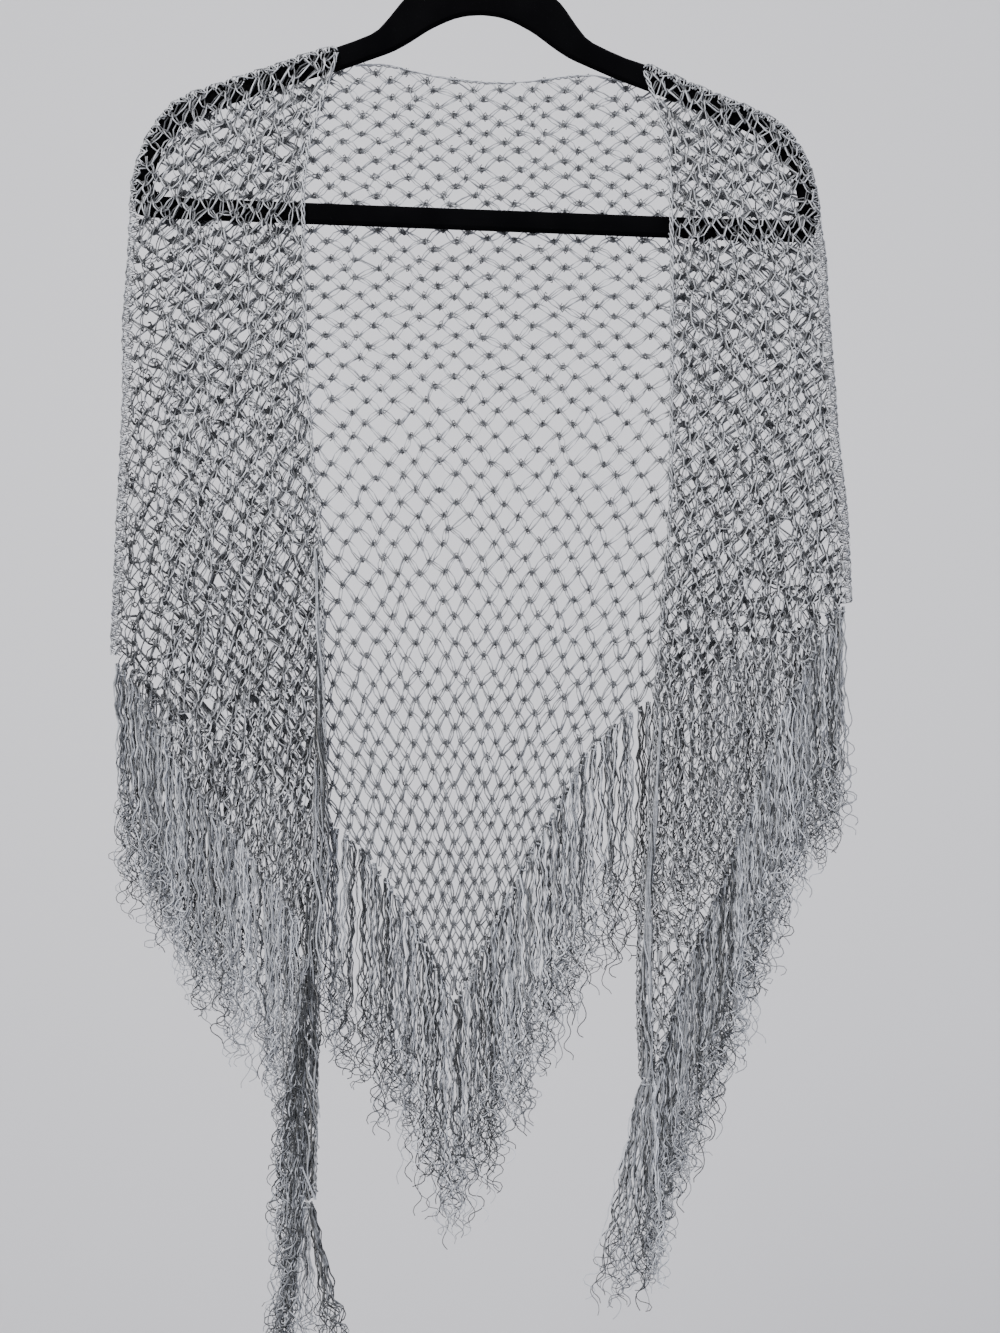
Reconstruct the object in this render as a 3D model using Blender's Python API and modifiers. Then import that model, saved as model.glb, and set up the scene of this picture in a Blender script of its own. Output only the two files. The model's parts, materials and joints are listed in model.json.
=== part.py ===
"""A loosely knitted triangular shawl, hung over a slim flocked clothes hanger.

The shawl is one triangle of net. Its long edge makes the two front edges and the back of the neck, and
both short edges carry a long fringe. The hanger lies between the fronts and the back. Each stretch of
the cloth is its own object: the back, the two turns over the hanger's arms and the two fronts.
Lengths are in millimetres, and MM turns them into metres. Looking along +Y, +X is to the right.
"""

import math

import bmesh
import bpy
from mathutils import Vector

MM = 0.001

# The hanger: a flat frame, rounded at its edges, and a wire hook whose inner top is the origin.
HANGER_TILT = math.radians(2.2)  # it hangs a little askew, with its right arm lower
HANGER_THICKNESS = 5.0
HANGER_EDGE = 2.0
HANGER_EDGE_ANGLE = math.radians(60)  # corners sharper than this are rounded
HOOK_WIRE = 3.6
HOOK_RADIUS = 19.8  # to the middle of the wire
HOOK_TIP_ANGLE = 197
HOOK_LOW_ANGLE = -48
HOOK_STEPS = 13
HOOK_SIDES = 2  # the curve's bevel resolution: eight sides
# The neck of the hook, from its round down to its foot: x, z.
HOOK_STEM = ((7.5, -36.5), (2.2, -42.5), (0.0, -47.5))
HOOK_STEM_STEPS = 2

# One half of the frame, from the middle of its hump round to the middle of its bar:
# outer x, outer z, inner x, inner z.
FRAME_RIBS = (
    (0.0, -54.5, 0.0, -89.6),
    (14.0, -57.0, 9.0, -90.3),
    (30.0, -64.0, 18.0, -92.5),
    (42.0, -73.0, 27.0, -96.5),
    (51.0, -80.0, 36.0, -101.5),
    (58.0, -89.0, 46.0, -108.5),
    (65.0, -98.0, 54.0, -113.5),
    (73.0, -105.0, 62.0, -117.5),
    (95.0, -114.2, 86.0, -127.0),
    (108.0, -118.0, 102.0, -132.5),
    (140.0, -130.5, 133.0, -143.0),
    (182.0, -146.0, 172.0, -157.5),
    (198.0, -154.0, 186.0, -164.5),
    (207.0, -163.0, 195.0, -171.5),
    (216.0, -177.0, 203.0, -180.0),
    (221.0, -190.0, 208.0, -190.0),
    (224.5, -204.0, 211.0, -201.0),
    (225.5, -214.0, 212.0, -207.5),
    (223.0, -225.0, 209.5, -213.5),
    (215.0, -230.5, 204.5, -216.5),
    (150.0, -231.0, 150.0, -217.0),
    (75.0, -231.0, 75.0, -217.0),
    (0.0, -231.0, 0.0, -217.0),
)
RIB_STEPS = 2
LEFT_START, RIGHT_START = 16, 18  # the smoothed rib at which the front edges cross each arm
ARM_END = 34  # the last smoothed rib that the cloth bears on, below the shoulder

# The cloth.
CLOTH = 1.6
SEAM = 0.3
TURN_RADIUS = 4.8  # of the cloth's turn over the hanger, at the middle of the wall
TURN_STEPS = 6
BESIDE_TURN = TURN_RADIUS + SEAM
RIM_STATIONS = 26
HEM_STATIONS = 11
TAIL_STATIONS = 4
FRONT_COLUMNS = 8
BACK_COLUMNS = 18
FRONT_EDGE_STEPS, BACK_EDGE_STEPS = 6, 4  # in each span between two points of an edge

# The folds down both sides, below the shoulders: x, z.
LEFT_FOLD = (
    (-235.0, -226.0), (-237.0, -253.0), (-240.0, -290.0),
    (-240.0, -345.0), (-244.0, -420.0), (-248.0, -511.0),
)
RIGHT_FOLD = (
    (222.0, -245.0), (224.0, -283.0), (228.0, -330.0),
    (231.0, -376.0), (236.0, -410.0), (239.0, -475.0),
)
# The edges that carry the fringe, from the fold inward: x, z.
LEFT_HEM = (
    (-224.0, -541.0), (-203.0, -579.0), (-180.0, -609.0),
    (-152.0, -641.0), (-132.0, -669.0), (-118.0, -693.0),
)
LEFT_TAIL = ((-120.0, -738.0), (-122.0, -790.0), (-121.0, -867.0))
RIGHT_HEM = (
    (214.0, -503.0), (190.0, -552.0), (172.0, -604.0), (150.0, -664.0),
    (131.0, -712.0), (113.0, -769.0), (108.0, -787.0),
)
BACK_HEM = (
    (-213.0, -541.0), (-150.0, -590.0), (-93.0, -628.0), (-62.0, -663.0), (-40.0, -705.0), (-22.0, -740.0),
    (-6.0, -708.0), (16.0, -662.0), (45.0, -610.0), (73.0, -563.0), (107.0, -539.0), (180.0, -505.0),
)
# The free front edges, from the hanger down: z, x.
LEFT_EDGE = (
    (-108, -96), (-121, -99.8), (-143, -107), (-160, -113), (-187, -120), (-214, -121), (-312, -119),
    (-352, -117), (-447, -108), (-504, -108), (-575, -106), (-625, -105), (-736, -111), (-867, -113),
)
RIGHT_EDGE = (
    (-122, 101), (-133, 104), (-153, 111), (-170, 117.5), (-222, 120), (-326, 120), (-421, 119),
    (-490, 113), (-532, 110), (-618, 107), (-650, 101), (-706, 98), (-748, 98), (-787, 100),
)
# Which height of the front edge each place on the outer edge is tied to: outer length, edge z.
LEFT_TIES = (
    (0, -121), (70, -205), (165, -370), (478, -562),
    (565, -612), (641, -656), (706, -700), (881, -867),
)
RIGHT_TIES = (
    (0, -133), (60, -205), (150, -360), (410, -565), (497, -640),
    (590, -692), (660, -736), (728, -776), (750, -787),
)
# The edge at the back of the neck, from left to right: x, z.
NECK = (
    (-87.0, -121.0), (-71.0, -119.5), (-46.0, -125.0), (-20.0, -130.0), (7.0, -132.0),
    (30.0, -130.5), (52.0, -128.0), (67.0, -126.5), (82.0, -129.5), (94.0, -131.5),
)

# Soft upright folds, which stand outward only: side, x at the bar, x at the foot, half width, height.
FOLDS = (
    (-1, -212, -228, 13, 4.0),
    (-1, -175, -186, 14, 6.0),
    (-1, -140, -138, 12, 5.0),
    (-1, 142, 120, 12, 5.0),
    (-1, 174, 150, 14, 6.0),
    (-1, 206, 196, 13, 4.0),
    (1, -170, -150, 26, 4.0),
    (1, -70, -60, 24, 6.0),
    (1, 20, 0, 22, 6.0),
    (1, 110, 70, 24, 5.0),
    (1, 190, 160, 22, 4.0),
)
BAR_Z, FOOT_Z = -230.0, -700.0
FOLDS_START_Z, FOLDS_FULL_Z = -180.0, -420.0
FLAT_BY_TURN = 40.0  # the folds fade out over this width beside a turn

# The fringe: locks of a few yarns each, which hang from a narrow strip along the edge.
STRIP_GAP = 0.5
STRIP_HEIGHT = 2.0
STRIP_DEPTH = 2.6
LOCK_SHARE = 0.62  # of the pitch
LOCK_DEPTH = 2.4
LOCK_TIP = 0.55
LOCK_WAVE_LENGTH = 74.0  # of a lock's slow wave, down its length
LOCK_SWAY, LOCK_SWELL = 0.7, 2.6  # how far the wave goes along the edge, and outward
SWAY_SHIFT, SWELL_SHIFT = 60.0, 9.0  # along the edge, for one radian more of the wave
WAVE_STARTS = 40.0  # the wave grows over this drop
LENGTH_VARIES, LENGTH_TURN = 0.07, 2.4  # share of a lock's length, and radians from lock to lock
BACK_PITCH = 5.2
FRONT_PITCH = 4.5
BACK_FRINGE, FRONT_FRINGE = 154.0, 140.0
LOCK_SECTIONS = (0.45, 1.0)  # shares of a lock's length
STRIP_BEND_CLEAR, STRIP_LEAST_STEP = 0.4, 0.3  # from a lock to a bend of its strip, and between sections
MITRE_LIMIT = 0.5

# The tail's locks leave the front of its upright strip, and hang just clear of it.
TAIL_LOCKS = 7
TAIL_LOCK_SECTIONS = (0.14, 0.5, 1.0)
TAIL_LOCK_GAP = 0.8
TAIL_LOCK_CLEARS = 25.0  # the drop in which it comes forward
TAIL_FLOOR_Z = -962.0
BARE_PLACES = 3  # without a lock, where the left hem meets its tail

# How far the locks lean along X for each unit of drop, at both ends of each fringed stretch.
LEFT_HEM_LEANS, LEFT_TAIL_LEANS, LEFT_END_LEANS = (0.06, 0.0), (0.2, 0.2), (-0.05, 0.1)
RIGHT_HEM_LEANS, RIGHT_END_LEANS = (0.0, -0.04), (-0.1, -0.2)


def spline_value(t, a, b, c, d):
    """The Catmull-Rom value between b, at t = 0, and c, at t = 1."""
    bend = 2 * a - 5 * b + 4 * c - d
    twist = 3 * b - a - 3 * c + d
    return 0.5 * (2 * b + (c - a) * t + bend * t ** 2 + twist * t ** 3)


def smooth_path(points, per_span):
    """A Catmull-Rom curve through the points, with per_span steps in each span."""
    last = len(points) - 1
    found = []
    for i in range(last):
        near = (points[max(i - 1, 0)], points[i], points[i + 1], points[min(i + 2, last)])
        found += [
            tuple(spline_value(step / per_span, *column) for column in zip(*near))
            for step in range(per_span)
        ]
    found.append(tuple(points[-1]))
    return found


def lengths_along(path):
    total = [0.0]
    for a, b in zip(path, path[1:]):
        total.append(total[-1] + math.dist(a, b))
    return total


def look_up(table, value):
    """The second column where the first column has this value, whichever way the first one runs."""
    rows = sorted(table)
    if value <= rows[0][0]:
        return rows[0][1]
    for (a, at_a), (b, at_b) in zip(rows, rows[1:]):
        if value <= b:
            return at_a + (at_b - at_a) * (value - a) / (b - a)
    return rows[-1][1]


def spread(path, count):
    """count points at even distances along a path, both ends included."""
    along = lengths_along(path)
    columns = [list(zip(along, column)) for column in zip(*path)]
    places = [along[-1] * i / (count - 1) for i in range(count)]
    return [tuple(look_up(column, place) for column in columns) for place in places]


def smooth_step(value):
    value = min(max(value, 0.0), 1.0)
    return value * value * (3 - 2 * value)


def tilted(x, z):
    """A point of the hanger's own plane, where it hangs."""
    c, s = math.cos(HANGER_TILT), math.sin(HANGER_TILT)
    return x * c + z * s, z * c - x * s


def material(name, colour, roughness, metallic=0.0):
    made = bpy.data.materials.new(name)
    made.use_nodes = True
    shader = made.node_tree.nodes["Principled BSDF"]
    shader.inputs["Base Color"].default_value = (*colour, 1.0)
    shader.inputs["Roughness"].default_value = roughness
    shader.inputs["Metallic"].default_value = metallic
    return made


def add_object(name, data, finish, folder):
    made = bpy.data.objects.new(name, data)
    made.data.materials.append(finish)
    folder.objects.link(made)
    return made


def mesh_object(name, bm, finish, folder):
    bmesh.ops.recalc_face_normals(bm, faces=bm.faces)
    bmesh.ops.scale(bm, vec=(MM, MM, MM), verts=bm.verts)
    mesh = bpy.data.meshes.new(name)
    bm.to_mesh(mesh)
    bm.free()
    mesh.shade_smooth()
    return add_object(name, mesh, finish, folder)


def make_hanger_body(finish, folder):
    """The frame: two loops of points bridged into a flat ring, thickened, with its edges rounded."""
    half = smooth_path(FRAME_RIBS, RIB_STEPS)
    mirrored = [(-a, b, -c, d) for a, b, c, d in reversed(half[1:-1])]
    bm = bmesh.new()
    loops = []
    for column in (0, 2):
        verts = [bm.verts.new((rib[column], 0.0, rib[column + 1])) for rib in half + mirrored]
        loops += [bm.edges.new((a, b)) for a, b in zip(verts, verts[1:] + verts[:1])]
    bmesh.ops.bridge_loops(bm, edges=loops)
    body = mesh_object("hanger_body", bm, finish, folder)
    body.rotation_euler = (0.0, HANGER_TILT, 0.0)
    wall = body.modifiers.new("thickness", "SOLIDIFY")
    wall.thickness = HANGER_THICKNESS * MM
    wall.offset = 0.0
    edges = body.modifiers.new("rounded edges", "BEVEL")
    edges.width = HANGER_EDGE * MM
    edges.segments = 1
    edges.use_clamp_overlap = False
    edges.limit_method = "ANGLE"
    edges.angle_limit = HANGER_EDGE_ANGLE
    return body


def make_hook(finish, folder):
    """The wire hook: three quarters of a round, then a neck down to the top of the hump."""
    middle = HOOK_WIRE / 2 - HOOK_RADIUS
    route = []
    for i in range(HOOK_STEPS + 1):
        angle = math.radians(HOOK_TIP_ANGLE + (HOOK_LOW_ANGLE - HOOK_TIP_ANGLE) * i / HOOK_STEPS)
        route.append((HOOK_RADIUS * math.cos(angle), middle + HOOK_RADIUS * math.sin(angle)))
    route += smooth_path((*HOOK_STEM, (0.0, FRAME_RIBS[0][1] + SEAM)), HOOK_STEM_STEPS)
    wire = bpy.data.curves.new("hanger_hook", "CURVE")
    wire.dimensions = "3D"
    wire.bevel_depth = HOOK_WIRE / 2 * MM
    wire.bevel_resolution = HOOK_SIDES
    wire.use_fill_caps = True
    spline = wire.splines.new("POLY")
    spline.points.add(len(route) - 1)
    for point, (x, z) in zip(spline.points, route):
        point.co = (x * MM, 0.0, z * MM, 1.0)
    hook = add_object("hanger_hook", wire, finish, folder)
    hook.rotation_euler = (0.0, HANGER_TILT, 0.0)
    return hook


def rim_of(side):
    """Where the cloth turns from front to back: over the hanger's arm, clear of it, and down the fold."""
    start, fold = (LEFT_START, LEFT_FOLD) if side < 0 else (RIGHT_START, RIGHT_FOLD)
    above = SEAM + CLOTH / 2
    ribs = smooth_path(FRAME_RIBS, RIB_STEPS)
    rim = []
    for i in range(start, ARM_END + 1):
        before, (x, z), after = ribs[i - 1][:2], ribs[i][:2], ribs[i + 1][:2]
        along = (Vector(after) - Vector(before)).normalized()
        rim.append(tilted(side * (x - along.y * above), z + along.x * above))
    below = spread(smooth_path((rim[-1], *fold), FRONT_EDGE_STEPS), RIM_STATIONS - len(rim) + 1)
    return rim + below[1:]


def inward_normals(rim, side):
    """The direction from each rim point into the cloth, square to the rim."""
    found = []
    for i in range(len(rim)):
        along = (Vector(rim[min(i + 1, len(rim) - 1)]) - Vector(rim[max(i - 1, 0)])).normalized()
        found.append(Vector((along.y, -along.x)) * side)
    return found


def distance_to(path, x, z):
    point = Vector((x, z))
    nearest = math.inf
    for a, b in zip(path, path[1:]):
        a, along = Vector(a), Vector(b) - Vector(a)
        share = min(max((point - a).dot(along) / along.length_squared, 0.0), 1.0)
        nearest = min(nearest, (point - a - along * share).length)
    return nearest


def depth_of(x, z, face, rims):
    """How far the cloth hangs from the hanger's plane: face is -1 for a front and 1 for the back."""
    down = (z - BAR_Z) / (FOOT_Z - BAR_Z)
    bulge = 0.0
    for side, top_x, foot_x, width, height in FOLDS:
        if side == face:
            middle = top_x + (foot_x - top_x) * down
            bulge += height * math.exp(-(((x - middle) / width) ** 2))
    bulge *= smooth_step((z - FOLDS_START_Z) / (FOLDS_FULL_Z - FOLDS_START_Z))
    beside = min(distance_to(rim, x, z) for rim in rims)
    return face * (TURN_RADIUS + bulge * smooth_step((beside - BESIDE_TURN) / FLAT_BY_TURN))


def cloth_wall(name, rows, finish, folder):
    """A grid of cloth through the given rows of points, with its thickness."""
    bm = bmesh.new()
    bmesh.ops.create_grid(bm, x_segments=len(rows[0]) - 1, y_segments=len(rows) - 1, size=1.0)
    bm.verts.ensure_lookup_table()
    for vert, place in zip(bm.verts, [point for row in rows for point in row]):
        vert.co = place
    wall = mesh_object(name, bm, finish, folder)
    thickness = wall.modifiers.new("cloth", "SOLIDIFY")
    thickness.thickness = CLOTH * MM
    thickness.offset = 0.0
    thickness.use_even_offset = True
    return wall


def make_turn(name, side, rim, finish, folder):
    """The stretch that lies over one arm of the hanger and goes on down the fold, half round in section."""
    rows = []
    for (x, z), inward in zip(rim, inward_normals(rim, side)):
        row = []
        for step in range(TURN_STEPS + 1):
            angle = math.pi * (step / TURN_STEPS - 0.5)
            inside = TURN_RADIUS * (1 - math.cos(angle))
            row.append((x + inward.x * inside, TURN_RADIUS * math.sin(angle), z + inward.y * inside))
        rows.append(row)
    return cloth_wall(name, rows, finish, folder)


def beside_turn(rim, side):
    return [
        (x + inward.x * BESIDE_TURN, z + inward.y * BESIDE_TURN)
        for (x, z), inward in zip(rim, inward_normals(rim, side))
    ]


def make_front(name, side, rims, finish, folder):
    """A front: rungs from the turn and the hem across to the free edge. Returns the hem and the lower end."""
    edge, ties = (LEFT_EDGE, LEFT_TIES) if side < 0 else (RIGHT_EDGE, RIGHT_TIES)
    outer = beside_turn(rims[side], side)
    hem = LEFT_HEM if side < 0 else RIGHT_HEM
    outer += spread(smooth_path((outer[-1], *hem), FRONT_EDGE_STEPS), HEM_STATIONS + 1)[1:]
    if side < 0:
        outer += spread((outer[-1], *LEFT_TAIL), TAIL_STATIONS + 1)[1:]
    rows = []
    for (x, z), length in zip(outer, lengths_along(outer)):
        tied_z = look_up(ties, length)
        tied_x = look_up(edge, tied_z)
        row = []
        for i in range(FRONT_COLUMNS + 1):
            share = i / FRONT_COLUMNS
            at_x, at_z = x + (tied_x - x) * share, z + (tied_z - z) * share
            row.append((at_x, depth_of(at_x, at_z, -1, [rims[side]]), at_z))
        rows.append(row)
    cloth_wall(name, rows, finish, folder)
    fringed = [Vector(row[0]) for row in rows[RIM_STATIONS - 1:]]
    return fringed, [Vector(point) for point in rows[-1]]


def make_back(name, rims, finish, folder):
    """The back: a patch filled in between the neck, the two turns and the pointed hem.

    Each point is the sum of what the two pairs of facing edges give, less what the corners give twice.
    Returns the two halves of the hem, each from its fold to the point.
    """
    left, right = beside_turn(rims[-1], -1), beside_turn(rims[1], 1)
    neck = spread(smooth_path((left[0], *NECK, right[0]), BACK_EDGE_STEPS), BACK_COLUMNS + 1)
    low = spread(smooth_path((left[-1], *BACK_HEM, right[-1]), BACK_EDGE_STEPS), BACK_COLUMNS + 1)
    point = min(range(len(low)), key=lambda i: low[i][1])
    low[point] = min(BACK_HEM, key=lambda row: row[1])
    rows = []
    for j in range(RIM_STATIONS):
        v = j / (RIM_STATIONS - 1)
        row = []
        for i in range(BACK_COLUMNS + 1):
            u = i / BACK_COLUMNS
            at = []
            for k in (0, 1):
                upright = (1 - v) * neck[i][k] + v * low[i][k]
                level = (1 - u) * left[j][k] + u * right[j][k]
                left_corners = (1 - v) * left[0][k] + v * left[-1][k]
                right_corners = (1 - v) * right[0][k] + v * right[-1][k]
                at.append(upright + level - (1 - u) * left_corners - u * right_corners)
            row.append((at[0], depth_of(at[0], at[1], 1, rims.values()), at[1]))
        rows.append(row)
    cloth_wall(name, rows, finish, folder)
    fringed = [Vector(place) for place in rows[-1]]
    return fringed[:point + 1], fringed[:point - 1:-1]


def point_along(path, along, place):
    return Vector([look_up([(a, p[k]) for a, p in zip(along, path)], place) for k in range(3)])


def lock_places(leg):
    """Where each lock of this stretch of edge starts and ends, as lengths along it."""
    pitch = lengths_along(leg["path"])[-1] / leg["count"]
    half = LOCK_SHARE * pitch / 2
    middles = [(i + 0.5) * pitch for i in range(leg["count"] - leg["bare_end"])]
    return [(middle - half, middle + half) for middle in middles]


def strip_section(at, outward):
    """The four corners of the strip at one place: near the cloth and far from it, front and back."""
    corners = []
    for off, y in ((0, -1), (0, 1), (1, 1), (1, -1)):
        beyond = STRIP_GAP + off * STRIP_HEIGHT
        corners.append(at + outward * beyond + Vector((0, y * STRIP_DEPTH / 2, 0)))
    return corners


def grow_lock(bm, face, sections, from_front):
    """Extrudes one lock from a face of the strip through its sections, each a middle and half sizes."""
    middle = face.calc_center_median()
    signs = []
    for vert in face.verts:
        off = vert.co - middle
        across = -off.z if from_front else off.y
        signs.append((math.copysign(1, off.x), math.copysign(1, across)))
    for centre, half_x, half_y in sections:
        face = bmesh.ops.extrude_discrete_faces(bm, faces=[face])["faces"][0]
        for vert, (along, across) in zip(face.verts, signs):
            vert.co = centre + Vector((along * half_x, across * half_y, 0))


def lock_sections(root, length, lean, leg):
    """The middles and half sizes of a lock's sections, as it hangs in a slow wave."""
    face = math.copysign(1, root.y)
    half_x = LOCK_SHARE * leg["pitch"] / 2
    forward = -(STRIP_DEPTH + LOCK_DEPTH) / 2 - TAIL_LOCK_GAP if leg["front"] else 0.0
    sections = []
    for share in TAIL_LOCK_SECTIONS if leg["front"] else LOCK_SECTIONS:
        drop = length * share
        fade = smooth_step(drop / WAVE_STARTS)
        turn = 2 * math.pi * (root.z - drop) / LOCK_WAVE_LENGTH + root.x / SWAY_SHIFT
        sway = LOCK_SWAY * fade * math.sin(turn)
        swell = face * LOCK_SWELL * fade * math.sin(turn + root.x / SWELL_SHIFT) ** 2
        ahead = forward * min(drop / TAIL_LOCK_CLEARS, 1)
        place = root + Vector((lean * drop + sway, ahead + swell, -drop))
        thin = 1 - (1 - LOCK_TIP) * share
        sections.append((place, half_x * thin, LOCK_DEPTH / 2 * thin))
    return sections


def fringe_leg(path, outward, pitch, length, leans=(0.0, 0.0), count=None, bare_end=0, front=False,
               floor_z=-math.inf):
    """One stretch of fringed edge.

    leans are for its two ends, bare_end is how many places at its end have no lock, and front is for
    locks that leave the front face of the strip.
    """
    across = abs(path[-1].x - path[0].x)
    return {
        "path": path, "outward": outward, "pitch": pitch, "length": length, "leans": leans,
        "count": count or round(across / pitch), "bare_end": bare_end, "front": front, "floor_z": floor_z,
    }


def leg_stations(leg):
    """The places of a leg's strip sections: both sides of each lock, and the bends between locks."""
    path = leg["path"]
    along = lengths_along(path)
    spans = lock_places(leg)
    stops = []
    for number, (start, end) in enumerate(spans):
        stops += [(start, number), (end, None)]
    for place in along:
        if not any(start - STRIP_BEND_CLEAR < place < end + STRIP_BEND_CLEAR for start, end in spans):
            stops.append((place, None))
    stops.sort(key=lambda stop: stop[0])
    return [
        {"at": point_along(path, along, place), "leg": leg, "lock": number, "share": place / along[-1]}
        for place, number in stops
    ]


def fringe_stations(legs):
    """The stations of all the legs, without those that fall on the one before."""
    found = []
    for leg in legs:
        for station in leg_stations(leg):
            if not found or (station["at"] - found[-1]["at"]).length > STRIP_LEAST_STEP:
                found.append(station)
    return found


def outward_at(stations, i):
    """The direction outward from the edge at a station, made longer at a bend, as a mitre is."""
    at, side = stations[i]["at"], stations[i]["leg"]["outward"]
    before = stations[max(i - 1, 0)]["at"]
    after = stations[min(i + 1, len(stations) - 1)]["at"]
    normals = []
    for a, b in ((before, at), (at, after)):
        if (b - a).length > 0:
            along = Vector((b.x - a.x, 0, b.z - a.z)).normalized()
            normals.append(Vector((along.z, 0, -along.x)) * side)
    outward = sum(normals, Vector()).normalized()
    return outward / max(outward.dot(normals[0]), MITRE_LIMIT)


def sweep_strip(bm, stations):
    """Extrudes the strip from station to station. Returns the four vertices of each section."""
    bmesh.ops.create_grid(bm, x_segments=1, y_segments=1, size=1.0)
    bm.faces.ensure_lookup_table()
    cap = bm.faces[0]
    sections = []
    for i, station in enumerate(stations):
        if i:
            cap = bmesh.ops.extrude_discrete_faces(bm, faces=[cap])["faces"][0]
        for vert, place in zip(cap.verts, strip_section(station["at"], outward_at(stations, i))):
            vert.co = place
        sections.append(list(cap.verts))
    return sections


def grow_locks(bm, stations, sections):
    """Grows a lock from the strip's outer or front face at each station where one starts."""
    near_front, _, far_back, far_front = range(4)
    for i, station in enumerate(stations):
        number, leg = station["lock"], station["leg"]
        if number is None:
            continue
        columns = (near_front, far_front) if leg["front"] else (far_back, far_front)
        corners = [sections[i][k] for k in columns] + [sections[i + 1][k] for k in reversed(columns)]
        face = bm.faces.get(corners)
        root = face.calc_center_median()
        length = leg["length"] * (1 + LENGTH_VARIES * math.sin(LENGTH_TURN * number))
        length = min(length, root.z - leg["floor_z"])
        lean = leg["leans"][0] + (leg["leans"][1] - leg["leans"][0]) * station["share"]
        grow_lock(bm, face, lock_sections(root, length, lean, leg), leg["front"])


def make_fringe(name, legs, finish, folder):
    """A strip swept along the legs of an edge, with each leg's locks extruded from it."""
    bm = bmesh.new()
    stations = fringe_stations(legs)
    sections = sweep_strip(bm, stations)
    grow_locks(bm, stations, sections)
    bmesh.ops.holes_fill(bm, edges=[edge for edge in bm.edges if edge.is_boundary], sides=4)
    return mesh_object(name, bm, finish, folder)


def main():
    for old in list(bpy.data.objects):
        bpy.data.objects.remove(old, do_unlink=True)
    folder = bpy.data.collections.new("shawl on a hanger")
    bpy.context.scene.collection.children.link(folder)
    flock = material("black nylon flock", colour=(0.004, 0.004, 0.005), roughness=0.95)
    metal = material("chromed steel wire", colour=(0.55, 0.56, 0.58), roughness=0.18, metallic=1.0)
    yarn = material("silver grey yarn", colour=(0.33, 0.34, 0.36), roughness=0.85)
    locks = material("silver grey fringe yarn", colour=(0.27, 0.28, 0.31), roughness=0.9)

    make_hanger_body(flock, folder)
    make_hook(metal, folder)
    rims = {-1: rim_of(-1), 1: rim_of(1)}
    make_turn("shawl_turn_left", -1, rims[-1], yarn, folder)
    make_turn("shawl_turn_right", 1, rims[1], yarn, folder)
    left_hem, left_end = make_front("shawl_front_left", -1, rims, yarn, folder)
    right_hem, right_end = make_front("shawl_front_right", 1, rims, yarn, folder)
    back_left, back_right = make_back("shawl_back", rims, yarn, folder)

    make_fringe("fringe_back_left", [fringe_leg(back_left, 1, BACK_PITCH, BACK_FRINGE)], locks, folder)
    make_fringe("fringe_back_right", [fringe_leg(back_right, -1, BACK_PITCH, BACK_FRINGE)], locks, folder)
    make_fringe("fringe_front_left", [
        fringe_leg(left_hem[:HEM_STATIONS + 1], 1, FRONT_PITCH, FRONT_FRINGE, LEFT_HEM_LEANS,
                   bare_end=BARE_PLACES),
        fringe_leg(left_hem[HEM_STATIONS:], 1, FRONT_PITCH, FRONT_FRINGE, LEFT_TAIL_LEANS,
                   count=TAIL_LOCKS, front=True, floor_z=TAIL_FLOOR_Z),
        fringe_leg(left_end, 1, FRONT_PITCH, FRONT_FRINGE, LEFT_END_LEANS, floor_z=TAIL_FLOOR_Z),
    ], locks, folder)
    make_fringe("fringe_front_right", [
        fringe_leg(right_hem, -1, FRONT_PITCH, FRONT_FRINGE, RIGHT_HEM_LEANS),
        fringe_leg(right_end, -1, FRONT_PITCH, FRONT_FRINGE, RIGHT_END_LEANS),
    ], locks, folder)


main()
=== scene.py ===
# %% [markdown]
# # A loosely knitted shawl on a flocked hanger
#
# The real object is one triangle of very open hand knitting in a silver grey yarn, hung over a slim
# black hanger so that its long edge runs down both fronts. Both short edges carry a long, dense fringe.
# The solids of the frame give every place: the net is laid over the cloth panels, strand by strand.

import json
import math

import bmesh
import bpy
import numpy as np
from mathutils import Matrix, Vector
from mathutils.bvhtree import BVHTree

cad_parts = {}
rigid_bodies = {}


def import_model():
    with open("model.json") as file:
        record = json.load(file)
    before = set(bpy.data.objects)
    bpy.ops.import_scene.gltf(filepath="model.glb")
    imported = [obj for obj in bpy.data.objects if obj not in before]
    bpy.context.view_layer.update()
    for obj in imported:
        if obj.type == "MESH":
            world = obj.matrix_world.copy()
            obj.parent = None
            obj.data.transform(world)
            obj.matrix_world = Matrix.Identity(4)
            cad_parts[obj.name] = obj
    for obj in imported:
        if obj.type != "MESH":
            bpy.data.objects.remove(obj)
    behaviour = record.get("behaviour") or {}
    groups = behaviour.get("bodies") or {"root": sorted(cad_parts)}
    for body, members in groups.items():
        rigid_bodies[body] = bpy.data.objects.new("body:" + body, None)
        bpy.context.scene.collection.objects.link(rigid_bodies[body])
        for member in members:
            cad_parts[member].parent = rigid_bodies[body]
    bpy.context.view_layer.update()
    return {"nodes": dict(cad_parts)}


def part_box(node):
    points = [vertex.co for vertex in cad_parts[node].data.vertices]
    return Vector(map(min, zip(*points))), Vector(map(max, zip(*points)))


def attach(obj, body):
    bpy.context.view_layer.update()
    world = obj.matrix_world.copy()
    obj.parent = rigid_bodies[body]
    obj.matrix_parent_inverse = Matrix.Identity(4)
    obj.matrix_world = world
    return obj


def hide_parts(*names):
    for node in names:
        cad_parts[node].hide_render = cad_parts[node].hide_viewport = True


MM = 0.001
for leftover in list(bpy.data.objects):
    bpy.data.objects.remove(leftover, do_unlink=True)
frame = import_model()

# %% [markdown]
# ## Camera
#
# The picture was taken square on, from just under a metre away, at the height of the middle of the
# shawl. The sensor is fitted to the upright side, so the lens value holds for the frame's height.

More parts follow.
